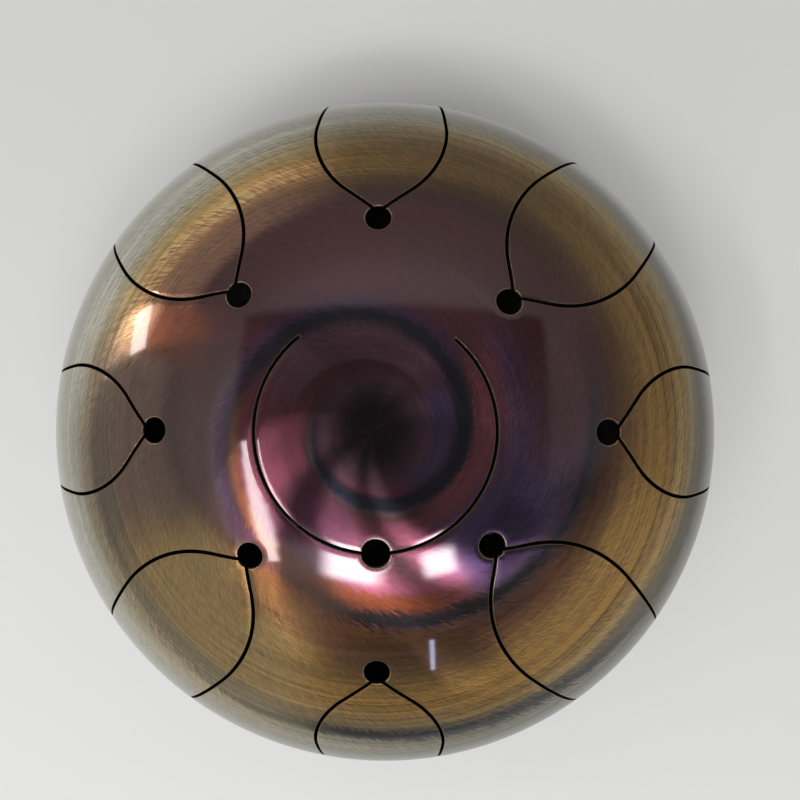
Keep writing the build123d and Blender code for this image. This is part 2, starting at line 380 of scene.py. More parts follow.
# where a point is on the drum: bearing in turns and length along the sheet from the crown's top
def drumPlace(shade):
    x, y, z = (side / mm for side in shade.node("ShaderNodeTexCoord", out="Object").split())
    reach = shade.maths("SQRT", x * x + y * y)
    bearing = shade.maths("ARCTAN2", y, x) / (2 * pi)
    height = shade.maths("ABSOLUTE", z - seam)
    crownAngle = shade.maths("ARCTAN2", reach, height + (seam - crownCentre))
    sideAngle = shade.maths("ARCTAN2", reach - sideCentre, height)
    onSide = shade.maths("GREATER_THAN", crownAngle, tangentAngle)
    crownArc = crownAngle * shell["crownRadius"]
    sideArc = (sideAngle - tangentAngle) * shell["sideRadius"] + tangentArc
    return bearing, crownArc * (1 - onSide) + sideArc * onSide


# brush strokes that lean off the circle: lean is in degrees, width and length are in millimetres
strokes = dict(
    typicalArc=90.0,  # their sizes hold about here
    leastArc=4.0,  # leaning strokes wind no further in than this
)


def brushStrokes(shade, bearing, arc, lean, width, length, detail=2.0, offset=0.0):
    turn = bearing * (2 * pi)
    if lean:
        count = strokes["typicalArc"] * sin(radians(lean)) / width
        turn = turn - arc.atLeast(strokes["leastArc"]).naturalLog() / tan(radians(lean))
        along = arc / (length * sin(radians(lean)))
    else:
        count = strokes["typicalArc"] / length
        along = arc / width
    east, north = shade.maths("COSINE", turn) * count, shade.maths("SINE", turn) * count
    return shade.noise(shade.vector(east, north, along + offset), 1.0, detail)


def towards(shade, bearing, side):  # 1 at this bearing, -1 on the other side
    return shade.maths("COSINE", (bearing - side / 360) * (2 * pi))


# Flame tint: a dark torch band winds out from the crown through plum and violet, then gold fades into steel.
# Arcs are lengths along the sheet, and a turn is a place on the winding, with the dark band at a half.
# A colour comes in over the first two numbers of a range, and goes out over the next two where there are four.
tint = dict(
    bandStart=24.0,  # arc at which the band begins, on the left
    windings=1.09,  # turns for each growth by e
    laterFrom=95.0,  # the windings close up from here
    laterWindings=0.85,
    laterPower=1.35,
    lag=0.068,  # the second turn trails by this share
    lagArcs=(38, 60, 84, 100),
    wander=(0.06, 0.20, 0.08),  # of the winding, with the stain, the hatch and the fine hatch
    slopeWander=(7, 3, 2),  # of the slope, in millimetres
    left=((0.00, "magenta"), (0.36, "magenta"), (0.46, "darkPlum"), (0.50, "darkPlum"), (0.53, "violetEdge"),
          (0.56, "violetEdge"), (0.60, "lilacGrey"), (0.69, "umber"), (0.78, "magenta"), (1.00, "magenta")),
    back=((0.00, "mauve"), (0.38, "mauve"), (0.45, "slate"), (0.52, "slate"), (0.56, "violetEdge"),
          (0.64, "rosyPlum"), (1.00, "rosyPlum")),
    backSide=(95, (0.30, 0.70)),
    right=((0.00, "blueViolet"), (0.28, "blueViolet"), (0.38, "lilac"), (0.42, "lilac"), (0.465, "slate"),
           (0.53, "slate"), (0.58, "darkRose"), (0.63, "rose"), (0.79, "rose"), (0.87, "violetPlum"),
           (1.00, "blueViolet")),
    rightSide=(350, (0.55, 0.82)),
    darkBand=(0.38, 0.45, 0.54, 0.60),
    toastTurn=(0.53, 0.58),
    toastArcs=(80, 90),
    innerTurn=(0.34, 0.45, 0.56, 0.67),  # the dark band's first turn
    innerArcs=(38, 46),
    crownArcs=(20, 28),
    slope=((0.00, "brown"), (0.12, "copperBrown"), (0.30, "gold"), (0.52, "gold"), (0.68, "olive"),
           (0.84, "greyOlive"), (1.00, "steel")),
    goldFrom=99.0,  # the winding colours end about here,
    goldCloser=(239, 25.0, 3),  # this much nearer the crown on one side, by a power of its cosine,
    goldFarther=(60, 9.0),  # and this much farther on another
    goldEdge=(-0.14, 0.06),
    goldArcs=(98, 114, 134, 150),
    # painted sheen on one side of the gold and painted shade on another
    goldPaintedSheen=(330, 0.20),
    goldPaintedShade=(62, 0.58),
    steelFrom=162.0,
    steelCloser=(148, 20.0),
    stripeStray=0.3,  # share of the slope's wander
    stripeHatch=(0.38, 0.58, 0.2, 1.0),
    copperHatch=(0.35, 0.65, 0.45, 0.95),
    sootTurn=((0.34, 0.42), (0.54, 0.62)),  # the dark band's third turn
    sootWider=(266, 0.07, 8),  # it is this much wider on one side, by a power of its cosine
    sootArcs=(114, 128, 158, 168),
    sootSide=(300, 0.60, 0.35),
    sootRings=(0.36, 0.58, 0.45, 1.0),
    frontEnd=(215, (0.6, 0.9)),  # the front band stops short of this side
    magenta=(0.195, 0.056, 0.086),
    darkPlum=(0.070, 0.034, 0.048),
    violetEdge=(0.100, 0.052, 0.112),
    lilacGrey=(0.160, 0.100, 0.122),
    umber=(0.100, 0.052, 0.046),
    mauve=(0.195, 0.098, 0.125),
    slate=(0.040, 0.034, 0.046),
    rosyPlum=(0.125, 0.046, 0.062),
    blueViolet=(0.115, 0.074, 0.158),
    lilac=(0.085, 0.050, 0.085),
    darkRose=(0.110, 0.055, 0.045),
    rose=(0.300, 0.092, 0.110),
    violetPlum=(0.180, 0.085, 0.150),
    toast=(0.060, 0.034, 0.026),
    innerBand=(0.026, 0.027, 0.042),
    brown=(0.100, 0.036, 0.018),
    copperBrown=(0.190, 0.084, 0.024),
    gold=(0.400, 0.220, 0.052),
    olive=(0.430, 0.290, 0.115),
    greyOlive=(0.370, 0.305, 0.180),
    steel=(0.395, 0.370, 0.300),
    soot=(0.108, 0.094, 0.060),
    # painted dark reflection at the crown's top
    crownPaintedReflection=(8, 29, 0.10, 1.0),  # the very top is dark
    rimArcs=(140, 160),
    # painted shade on the rim, away from the side where the mirrored floor is lit
    rimPaintedShadeShare=0.62,  # away from its bright side
    rimLitSide=(170, (-0.6, 0.9)),
    streakArcs=(90, 124, 150, 166),
    streakGrain=(0.3, 1.2),
    ringArcs=(118, 134, 158, 170),
    ringSide=330,
    ringGrain=(0.3, 1.5),
    fineGrain=1.6,
    hatchGrain=0.5,
    roughness=0.18,
    roughnessRange=0.12,
    brushing=1.0,  # how far highlights stretch
    strokeTurn=0.355,  # and which way
    lacquerArcs=(136, 162),  # the lacquer thins out towards the rim,
    lacquerThin=(300, (-0.2, 0.8, 0.45, 0.85)),  # most on one side
    lacquerRoughness=0.045,
    lacquerIndex=1.55,
    brushDepth=0.0000025,
    streakDepth=0.6,  # share of the fine hatch's
)
# patches of other colours, some of them painted shade and one a painted sheen: the side they face, how they
# fade away from it in cosines, and where they lie
patches = dict(
    # painted shade on the front left, where the lamps' glow falls
    paintedShadeFrontLeft=dict(side=236, fade=(0.85, 0.97), arcs=(28, 38, 72, 78), strength=0.8, colour=(0.085, 0.031, 0.052)),
    rusty=dict(side=200, fade=(0.70, 0.92), arcs=(52, 60), turn=(0.35, 0.41, 0.44, 0.47), strength=1.0,
               colour=(0.200, 0.070, 0.034)),  # the band's hot inner edge, on the left
    coppery=dict(side=262, fade=(0.70, 0.92), arcs=(52, 60), turn=(0.30, 0.36, 0.44, 0.47), strength=1.0,
                 colour=(0.118, 0.031, 0.014)),  # and at the front
    # painted shade on the front right, dimming a lamp's glow on the violet
    paintedShadeFrontRight=dict(side=318, fade=(0.95, 0.985), arcs=(58, 66, 78, 88), strength=0.8, colour=(0.060, 0.030, 0.078)),
    # the dark band's own colour, made darker still with painted shade at the front
    frontBandAndPaintedShade=dict(side=278, fade=(0.60, 0.90), arcs=(66, 74), turn=(0.44, 0.475, 0.535, 0.575), strength=1.0,
                   colour=(0.015, 0.012, 0.014)),
    umberSide=dict(side=178, fade=(0.75, 0.92), arcs=(69, 77), strength=1.0, colour=tint["umber"]),
    plumSide=dict(side=15, fade=(0.80, 0.97), arcs=(58, 72), strength=1.0, colour=(0.120, 0.056, 0.076)),
    scorched=dict(side=88, fade=(-0.1, 0.6), arcs=(62, 82), strength=1.0, colour=(0.088, 0.026, 0.028)),
    oliveSide=dict(side=228, fade=(0.86, 0.97), arcs=(76, 90, 122, 140), strength=0.85,
                   colour=(0.285, 0.188, 0.066)),
    rosy=dict(side=138, fade=(0.70, 0.97), arcs=(82, 100, 112, 130), strength=0.8, colour=(0.36, 0.175, 0.115)),
    # painted sheen on the back left, brightening without a colour of its own
    rosyPaintedSheen=dict(side=138, fade=(0.70, 0.97), arcs=(112, 124, 142, 160), strength=0.8),  # brightens alone
    stripe=dict(side=132, fade=(0.80, 0.95), arcs=(117, 121, 125, 129), strength=1.0,
                colour=(0.80, 0.42, 0.18)),
    toasted=dict(side=276, fade=(0.86, 0.98), arcs=(80, 84, 104, 124), strength=0.8,
                 colour=(0.055, 0.022, 0.009)),
    copperSide=dict(side=248, fade=(0.90, 0.98), arcs=(72, 78, 90, 104), strength=1.0,
                    colour=(0.150, 0.054, 0.016)),
    smoky=dict(side=182, fade=(0.86, 0.98), arcs=(80, 96, 128, 146), strength=0.9,
               colour=(0.120, 0.072, 0.054)),
    ember=dict(side=154, fade=(0.984, 0.998), arcs=(76, 92, 108, 115), strength=1.0,
               colour=(0.120, 0.034, 0.014)),
)


def makeTintedSteel():
    finish, shade = newFinish("tinted_steel")
    bearing, arc = drumPlace(shade)
    hatch = brushStrokes(shade, bearing, arc, lean=50, width=0.45, length=8)
    hatchFine = brushStrokes(shade, bearing, arc, lean=32, width=0.26, length=4, offset=40)
    streaks = brushStrokes(shade, bearing, arc, lean=0, width=0.9, length=70, detail=4, offset=9)
    stain = brushStrokes(shade, bearing, arc, lean=0, width=22.0, length=60, offset=71)
    rings = brushStrokes(shade, bearing, arc, lean=0, width=2.4, length=240, detail=3, offset=23)

    def facing(side):  # 1 at this bearing and 0 on the far half
        return towards(shade, bearing, side).atLeast(0.0)

    def stray(byStain, byHatch, byFine):  # how far the strokes push a colour's edge
        return (stain - 0.5) * byStain + (hatch - 0.5) * byHatch + (hatchFine - 0.5) * byFine

    def patch(name, along=arc):  # where a patch shows
        about = patches[name]
        shows = towards(shade, bearing, about["side"]).step(*about["fade"]) * along.range(*about["arcs"])
        if "turn" in about:
            shows = shows * wound.range(*about["turn"])
        return shows * about["strength"]

    def lay(colour, name, held=1.0, along=arc):  # a patch over the colour, held back by a mask
        return (patch(name, along) * held).mix(colour, patches[name]["colour"])

    def colours(place, run):
        return place.ramp([(at, tint[name]) for at, name in tint[run]])

    # colours that wind out with the torch
    turns = (arc.atLeast(strokes["leastArc"]) / tint["bandStart"]).naturalLog() * tint["windings"]
    later = ((arc - tint["laterFrom"]).atLeast(0.0) / 100).power(tint["laterPower"])
    turns = turns + later * tint["laterWindings"] - arc.range(*tint["lagArcs"]) * tint["lag"]
    wound = shade.maths("FRACT", turns - bearing + 1 + stray(*tint["wander"]))
    spiral = colours(wound, "left")
    for run in ("back", "right"):
        side, fade = tint[run + "Side"]
        spiral = towards(shade, bearing, side).step(*fade).mix(spiral, colours(wound, run))
    # colour patches, among them painted shade at the front left, the front right and on the front band
    for name in ("paintedShadeFrontLeft", "rusty", "coppery", "paintedShadeFrontRight", "frontBandAndPaintedShade", "umberSide"):
        spiral = lay(spiral, name)
    spiral = lay(spiral, "plumSide", 1 - wound.range(*tint["darkBand"]))
    spiral = (wound.step(*tint["toastTurn"]) * arc.step(*tint["toastArcs"])).mix(spiral, tint["toast"])
    spiral = lay(spiral, "scorched")
    innerBand = wound.range(*tint["innerTurn"]) * (1 - arc.step(*tint["innerArcs"]))
    spiral = innerBand.mix(spiral, tint["innerBand"])
    spiral = (1 - arc.step(*tint["crownArcs"])).mix(spiral, tint["mauve"])

    # colours that follow the slope down to the rim
    side, closer, power = tint["goldCloser"]
    goldFrom = tint["goldFrom"] - facing(side).power(power) * closer
    side, farther = tint["goldFarther"]
    goldFrom = goldFrom + facing(side) * farther
    side, closer = tint["steelCloser"]
    steelFrom = tint["steelFrom"] - facing(side) * closer
    slopeWander = stray(*tint["slopeWander"])
    down = (arc + slopeWander - goldFrom) / (steelFrom - goldFrom)
    slope = lay(lay(colours(down, "slope"), "oliveSide"), "rosy")
    slope = lay(slope, "stripe", hatch.step(*tint["stripeHatch"]), arc + slopeWander * tint["stripeStray"])
    slope = lay(slope, "toasted")
    slope = lay(slope, "copperSide", hatch.step(*tint["copperHatch"]))
    slope = lay(slope, "smoky")
    side, wider, power = tint["sootWider"]
    comesIn, goesOut = tint["sootTurn"]
    band = wound.step(*comesIn) * (1 - (wound - facing(side).power(power) * wider).step(*goesOut))
    side, least, more = tint["sootSide"]
    band = band * arc.range(*tint["sootArcs"]) * (facing(side) * more + least) * rings.step(*tint["sootRings"])
    slope = band.mix(slope, tint["soot"])
    colour = lay(down.step(*tint["goldEdge"]).mix(spiral, slope), "ember")
    # the front band's painted shade laid again over all the colours, stopping short of one side
    side, fade = tint["frontEnd"]
    colour = lay(colour, "frontBandAndPaintedShade", 1 - towards(shade, bearing, side).step(*fade))

    # painted sheen and painted shade on brighter and duller sides, a painted dark reflection at the crown, and
    # the grain of the brushing
    side, paintedSheen = tint["goldPaintedSheen"]
    paintedSheenAndShade = facing(side).power(2) * paintedSheen
    side, paintedShade = tint["goldPaintedShade"]
    paintedSheenAndShade = (paintedSheenAndShade - facing(side).power(2) * paintedShade) * arc.range(*tint["goldArcs"]) + patch("rosyPaintedSheen")
    # painted shade on the rim away from its lit side
    side, fade = tint["rimLitSide"]
    paintedRimShade = arc.step(*tint["rimArcs"]) * (1 - towards(shade, bearing, side).step(*fade)) * tint["rimPaintedShadeShare"]
    # painted light and shade together: the crown's painted dark reflection, the painted sheen and shade, and
    # the rim's painted shade
    depth = arc.step(*tint["crownPaintedReflection"]) * (1 + paintedSheenAndShade) * (1 - paintedRimShade)
    least, more = tint["streakGrain"]
    grain = (streaks - 0.5) * (arc.range(*tint["streakArcs"]) * more + least)
    least, more = tint["ringGrain"]
    grain = grain + (rings - 0.5) * arc.range(*tint["ringArcs"]) * (facing(tint["ringSide"]) * more + least)
    grain = grain + (hatchFine - 0.5) * tint["fineGrain"] + (hatch - 0.5) * tint["hatchGrain"]
    side, fade = tint["lacquerThin"]
    thinned = arc.step(*tint["lacquerArcs"]) * towards(shade, bearing, side).step(*fade)
    closeFinish(shade, {
        "Base Color": (depth * (grain + 1)).scaled(colour),
        "Metallic": 1.0,
        "Roughness": (streaks + hatchFine - 1) * tint["roughnessRange"] + tint["roughness"],
        "Anisotropic": tint["brushing"],
        "Anisotropic Rotation": tint["strokeTurn"],
        "Coat Weight": 1 - thinned,
        "Coat Roughness": tint["lacquerRoughness"],
        "Coat IOR": tint["lacquerIndex"],
        "Normal": shade.bump(hatchFine + streaks * tint["streakDepth"], tint["brushDepth"]),
    })
    return finish


lowerTint = dict(
    steel=(0.36, 0.345, 0.30),
    straw=(0.37, 0.305, 0.19),
    strawStain=(0.42, 0.66),
    streakGrain=0.5,
    hatchGrain=0.4,
    # painted shade on the lower rim away from its lit side
    paintedRimShade=(60, 165, 0.22, 0.62),  # as the upper rim is, more towards the seam
    roughness=0.32,
    roughnessRange=0.15,
    lacquerIndex=1.5,
    brushDepth=0.00003,
)


def makeLowerSteel():
    finish, shade = newFinish("lower_steel")
    bearing, arc = drumPlace(shade)
    streaks = brushStrokes(shade, bearing, arc, lean=0, width=1.4, length=26, detail=4)
    hatch = brushStrokes(shade, bearing, arc, lean=22, width=0.7, length=20, offset=5)
    stain = brushStrokes(shade, bearing, arc, lean=0, width=26.0, length=70, offset=13)
    colour = stain.step(*lowerTint["strawStain"]).mix(lowerTint["steel"], lowerTint["straw"])
    grain = (streaks - 0.5) * lowerTint["streakGrain"] + (hatch - 0.5) * lowerTint["hatchGrain"] + 1
    # painted shade on the lower rim away from its lit side, as on the upper rim
    side, fade = tint["rimLitSide"]
    paintedRimShade = (1 - towards(shade, bearing, side).step(*fade)) * arc.step(*lowerTint["paintedRimShade"])
    closeFinish(shade, {
        "Base Color": (grain * (1 - paintedRimShade)).scaled(colour),
        "Metallic": 1.0,
        "Roughness": (streaks - 0.5) * lowerTint["roughnessRange"] + lowerTint["roughness"],
        "Anisotropic": tint["brushing"],
        "Anisotropic Rotation": tint["strokeTurn"],
        "Coat Weight": 1.0,
        "Coat Roughness": tint["lacquerRoughness"],
        "Coat IOR": lowerTint["lacquerIndex"],
        "Normal": shade.bump(hatch + streaks, lowerTint["brushDepth"]),
    })
    return finish


# plain finishes, of two colours in speckles and clouds
speckled = dict(
    cloudSize=12,  # in speckles
    speckleShare=0.6,
    cloudShare=0.4,
    edge=(0.40, 0.62),
    roughnessRange=0.25,
    coatRoughness=0.04,
    depth=0.00004,
)


def makeSpeckled(name, colour, other, scale, roughness, metallic, coat=0.0):
    finish, shade = newFinish(name)
    place = shade.node("ShaderNodeTexCoord", out="Object")
    speckle = shade.noise(place, scale, 3.0)
    cloud = shade.noise(place, scale / speckled["cloudSize"])
    blotch = (speckle * speckled["speckleShare"] + cloud * speckled["cloudShare"]).step(*speckled["edge"])
    closeFinish(shade, {
        "Base Color": blotch.mix(colour, other),
        "Metallic": metallic,
        "Roughness": (speckle - 0.5) * speckled["roughnessRange"] + roughness,
        "Coat Weight": coat,
        "Coat Roughness": speckled["coatRoughness"],
        "Normal": shade.bump(speckle, speckled["depth"]),
    })
    return finish


tintedSteel = makeTintedSteel()
lowerSteel = makeLowerSteel()
cutSteel = makeSpeckled("cut_steel", (0.40, 0.28, 0.15), (0.26, 0.18, 0.09), 900, 0.30, 1.0, coat=1.0)
# the inside's raw steel, darkened nearly black as painted shade inside the closed drum
rawSteelPaintedShade = makeSpeckled("raw_steel_painted_shade", (0.085, 0.08, 0.075), (0.05, 0.045, 0.04), 260, 0.55, 1.0)
weldSteel = makeSpeckled("weld_steel", (0.40, 0.38, 0.35), (0.28, 0.25, 0.21), 700, 0.34, 1.0, coat=1.0)
trimRubber = makeSpeckled("trim_rubber", (0.016, 0.016, 0.017), (0.026, 0.026, 0.027), 1600, 0.55, 0.0)
footRubber = makeSpeckled("foot_rubber", (0.020, 0.020, 0.021), (0.032, 0.032, 0.033), 1200, 0.62, 0.0)
zincSteel = makeSpeckled("zinc_steel", (0.62, 0.62, 0.60), (0.48, 0.50, 0.54), 1100, 0.33, 1.0)
print("finishes made")

# the nine tongues and the openings that free them
tongue = dict(
    bearings=(-44.3, -135.3, 44.1, 135.3, 89.5, 179.9, -0.3, -89.9),
    tipShares=(0.157, 0.215, 0.248, 0.283, 0.3625, 0.403, 0.430, 0.471),  # from the centre slot to the seam
    slotWidth=1.4,
    holeRadius=5.5,
    rootRise=22.0,
    rootHalfWidth=27.0,
    rootTaper=4.9,
    tipHalfAngle=50.0,
    tipSetback=2.7,
    shoulderShare=0.53,  # of the tongue's length
    bendHeight=26.0,  # the sheet bends over this height above the root
)
centre = dict(
    slotRadius=51.5,
    rootBearing=88.8,
    rootHalfAngle=39.05,
    holeBearing=-89.6,
    holeRadius=6.0,
    bend=26.0,  # the sheet bends over this length beside the root
)
halfSlot = tongue["slotWidth"] / 2
rootArc = arcAt(sideCentre + sqrt(shell["sideRadius"] ** 2 - tongue["rootRise"] ** 2))


# one side of a slot, from the tip hole's edge out to the root, as (along the tongue, across it)
def slotSide(tipArc, growth):
    lean, taper = radians(tongue["tipHalfAngle"]), radians(tongue["rootTaper"])
    start = tipArc + tongue["tipSetback"] - growth / sin(lean)
    rootHalf = tongue["rootHalfWidth"] + growth / cos(taper)
    corner = (rootHalf + tan(taper) * rootArc + tan(lean) * start) / (tan(lean) + tan(taper))
    shoulder = (corner, tan(lean) * (corner - start))
    bend = tongue["shoulderShare"] * (rootArc - tipArc) + growth
    reach = bend * tan((lean + taper) / 2)
    onTip = (shoulder[0] - reach * cos(lean), shoulder[1] - reach * sin(lean))
    pivot = (onTip[0] + bend * sin(lean), onTip[1] - bend * cos(lean))
    offset = start - tipArc
    run = -offset * cos(lean) + sqrt(tongue["holeRadius"] ** 2 - (offset * sin(lean)) ** 2)
    onHole = (start + run * cos(lean), run * sin(lean))
    pitch = shell["cutPitch"]
    side = straightRun(onHole, onTip, pitch)
    side += roundRun(pivot, bend, 90 + degrees(lean), 90 - degrees(taper), pitch)[1:]
    side += straightRun(side[-1], (rootArc, rootHalf), pitch)[1:]
    return side


def tongueLoops(bearing, tipArc):  # of the opening in the shell, and of the tongue
    outer, inner = slotSide(tipArc, halfSlot), slotSide(tipArc, -halfSlot)
    holeTurn = [degrees(atan2(side[0][1], side[0][0] - tipArc)) for side in (outer, inner)]
    finePitch = shell["cutPitch"] / 2
    fixed = (rootArc, outer[-1][1] / 2 + inner[-1][1] / 2)
    capRadius = (outer[-1][1] - inner[-1][1]) / 2
    cap = roundRun(fixed, capRadius, 90, -90, capRadius / 3)
    root = straightRun(inner[-1], (rootArc, -inner[-1][1]), shell["cutPitch"])
    hole = roundRun((tipArc, 0), tongue["holeRadius"], 360 - holeTurn[0], holeTurn[0], finePitch)
    notch = roundRun((tipArc, 0), tongue["holeRadius"], holeTurn[1], -holeTurn[1], finePitch)

    def other(points):  # the same run on the tongue's other side, travelled back
        return [(along, -across) for along, across in reversed(points)]

    def onDrum(along, across):
        return polar(along, bearing + degrees(across / planAt(along)))

    def place(*runs):
        return chain(*[([onDrum(*point) for point in points], rounded) for points, rounded in runs])

    opening = place((outer, worn), (cap, worn), (root, sharp), (other(cap), worn), (other(outer), worn),
                    (hole, eased))
    blade = place((other(inner[::-1]), worn), (other(root[::-1]), sharp), (inner[::-1], worn), (notch, eased))
    return opening, blade


def centreLoops():
    pitch = shell["cutPitch"]
    radius = centre["holeRadius"]
    low, high = (centre["rootBearing"] + side * centre["rootHalfAngle"] for side in (-1, 1))
    holeArc, holeBearing = arcAt(centre["slotRadius"]), centre["holeBearing"] + 360
    arcs = [arcAt(centre["slotRadius"] + growth) for growth in (halfSlot, -halfSlot)]
    holePoint = polar(holeArc, holeBearing)
    turns, spans = [], []
    for arc in arcs:
        rest = arc**2 - holeArc**2 - radius**2
        turns.append(degrees(acos(rest / (2 * holeArc * radius))))
        spans.append(degrees(asin(radius * sin(radians(turns[-1])) / arc)))
    inner = [polar(arcs[1], bearing) for bearing in (low, high)]
    capRadius = (arcs[0] - arcs[1]) / 2
    capLow = roundRun(polar(holeArc, low), capRadius, low + 180, low + 360, capRadius / 3)
    capHigh = roundRun(polar(holeArc, high), capRadius, high, high + 180, capRadius / 3)
    chord = straightRun(inner[1], inner[0], pitch)
    hole = roundRun(holePoint, radius, holeBearing + turns[0], holeBearing - turns[0], pitch / 2)
    notch = roundRun(holePoint, radius, holeBearing - turns[1], holeBearing + turns[1] - 360, pitch / 2)

    def slotRun(edge, start, stop):
        return roundRun((0, 0), arcs[edge], start, stop, pitch), worn

    opening = chain(slotRun(0, low + 360, holeBearing + spans[0]), (hole, eased),
                    slotRun(0, holeBearing - spans[0], high), (capHigh, worn), (chord, sharp), (capLow, worn))
    blade = chain(slotRun(1, high, holeBearing - spans[1]), (notch, eased),
                  slotRun(1, holeBearing + spans[1], low + 360), (chord[::-1], sharp))
    return opening, blade


rimArc = seamArc - shell["seamGroove"]
rimLoop = chain((roundRun((0, 0), rimArc, 0, 360, shell["cutPitch"]), sharp))
sheetFinishes = [tintedSteel, cutSteel, rawSteelPaintedShade]
openings = []
tipSpan = shell["radius"] - centre["slotRadius"]
for number, (bearing, share) in enumerate(zip(tongue["bearings"], tongue["tipShares"]), 1):
    opening, blade = tongueLoops(bearing, arcAt(centre["slotRadius"] + share * tipSpan))
    openings.append(opening)
    piece = sheetPiece(f"tongue_{number}_sheet", [blade], sheetFinishes)
    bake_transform(piece)
    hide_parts(f"tongue_{number}")
opening, blade = centreLoops()
openings.append(opening)
piece = sheetPiece("centre_tongue_sheet", [blade], sheetFinishes)
chordReach = (centre["slotRadius"] - halfSlot) * cos(radians(centre["rootHalfAngle"]))
bendLine = [Vector((*polar(reach, centre["rootBearing"]), seam + dish)) * mm
            for reach in (chordReach, chordReach - centre["bend"])]
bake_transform(piece)
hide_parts("centre_tongue")
print("tongues made")

upperShell = sheetPiece("upper_shell_sheet", [rimLoop, *openings], sheetFinishes)
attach(upperShell, "drum_body")
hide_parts("upper_shell")

# the lower shell has the sound port and the foot screws' holes
lower = dict(portRadius=40.0, footRadius=85.0, footBearings=(45, 135, 225, 315), screwHoleRadius=2.75)
footArc = arcAt(lower["footRadius"])
port = roundRun((0, 0), arcAt(lower["portRadius"]), 360, 0, shell["cutPitch"])
lowerLoops = [rimLoop, chain((port, worn))]
for bearing in lower["footBearings"]:
    hole = roundRun(polar(footArc, bearing), lower["screwHoleRadius"], 360, 0, shell["cutPitch"] / 2)
    lowerLoops.append(chain((hole, worn)))
lowerShell = sheetPiece("lower_shell_sheet", lowerLoops, [lowerSteel, cutSteel, rawSteelPaintedShade], upper=False)
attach(lowerShell, "drum_body")
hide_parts("lower_shell")
print("shells made")

# weld bead: laid in overlapping puddles, then dressed nearly flush
weld = dict(
    crown=0.25,
    depth=0.8,
    puddles=420,
    ripple=0.05,
    trail=0.35,  # share of a puddle by which its edge trails at the bead's sides
    around=2520,
    across=8,
)


def makeWeld():
    profile = [(shell["radius"] - weld["depth"], 0.0)]
    profile += [(shell["radius"] + weld["crown"] * cos(a * pi / 2), weld["depth"] * a)
                for a in spread(weld["across"], -1, 1)]
    verts, faces, wide = [], [], len(profile)
    for turn in range(weld["around"]):
        angle = 2 * pi * turn / weld["around"]
        for index, (reach, rise) in enumerate(profile):
            trail = weld["trail"] * (rise / weld["depth"]) ** 2
            puddle = (turn * weld["puddles"] / weld["around"] + trail) % 1
            reach -= weld["ripple"] * (1 - puddle) ** 2 if 1 < index < wide - 1 else 0
            verts.append((reach * cos(angle) * mm, reach * sin(angle) * mm, (seam + rise) * mm))
    for turn in range(weld["around"]):
        here, there = turn * wide, (turn + 1) % weld["around"] * wide
        faces += [(here + n, there + n, there + (n + 1) % wide, here + (n + 1) % wide) for n in range(wide)]
    return addMesh("seam_weld_bead", verts, faces, [weldSteel])


bead = makeWeld()
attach(bead, "drum_body")
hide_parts("seam_weld")

# moulded and turned parts keep their solids and take finer finishes
for node, finish in [("port_trim", trimRubber), ("foot_screws", zincSteel), ("foot_washers", zincSteel),
                     ("foot_nuts", zincSteel)] + [(f"foot_{n}", footRubber) for n in range(1, 5)]:
    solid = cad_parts[node]
    solid.data.materials.clear()
    solid.data.materials.append(finish)
print("rubber and fasteners dressed")

# plain pale floor
floor = dict(
    half=6.0,
    colour=(0.86, 0.865, 0.855),
    shade=(0.84, 0.845, 0.835),
    clouds=(0.3, 0.7),
    cloudScale=2.5,
    roughness=0.55,
    specular=0.2,
)


def makeFloor():
    finish, shade = newFinish("pale_floor")
    cloud = shade.noise(shade.node("ShaderNodeTexCoord", out="Object"), floor["cloudScale"], 3.0)
    closeFinish(shade, {
        "Base Color": cloud.step(*floor["clouds"]).mix(floor["colour"], floor["shade"]),
        "Roughness": floor["roughness"],
        "Specular IOR Level": floor["specular"],
    })
    half = floor["half"]
    corners = [(-half, -half, 0), (half, -half, 0), (half, half, 0), (-half, half, 0)]
    mesh = bpy.data.meshes.new("floor")
    mesh.from_pydata(corners, [], [(0, 1, 2, 3)])
    mesh.materials.append(finish)
    ground = bpy.data.objects.new("floor", mesh)
    scene.collection.objects.link(ground)


makeFloor()

# Lamps, placed by where the lacquer mirrors them.
# Each has its middle and size as shares of their height, its turn in degrees and its colour.
panels = dict(
    height=1.55,  # above the drum
    brightness=11.0,
    softBrightness=17.0,
    soft=(0.30, 0.30),  # shares of a soft panel's two sides over which it fades in from each edge
    hazeBrightness=1.1,
    hazeSoft=(0.5, 0.5),
    hazeRise=0.02,  # above the others, so that it shines past them
    haze=((-0.14, -0.585), (1.00, 0.34), 0, (1.0, 0.97, 0.98)),
    washBrightness=3.5,
    wash=((-0.05, -0.52), (1.10, 0.50), 0, (1.0, 1.0, 1.0)),  # for the floor alone: metal doesn't mirror it
    stripBrightness=12.5,
    stripSoft=(0.35, 0.0),
    stripLength=0.069,  # of each part
    stripTurn=10,
    stripColour=(1.0, 0.97, 0.95),
    strip=((-0.531, -0.575, 0.0924), (-0.543, -0.507, 0.1316), (-0.555, -0.439, 0.1442),
           (-0.567, -0.371, 0.1358), (-0.580, -0.303, 0.1092), (-0.595, -0.235, 0.0840),
           (-0.609, -0.167, 0.0700), (-0.616, -0.099, 0.0588)),  # middle and width of its parts
    softPlaces=dict(
        frontLeft=((-0.163, -0.607), (0.34, 0.185), -10, (0.97, 1.0, 1.0)),
        frontRight=((0.207, -0.580), (0.195, 0.180), 14, (0.95, 0.99, 1.0)),
    ),
    places=dict(
        farLeft=((-1.563, 0.590), (0.19, 0.30), 7, (1.0, 0.96, 0.96)),
        frontSlit=((0.213, -1.205), (0.024, 0.28), 5, (0.62, 0.68, 1.0)),
    ),
)


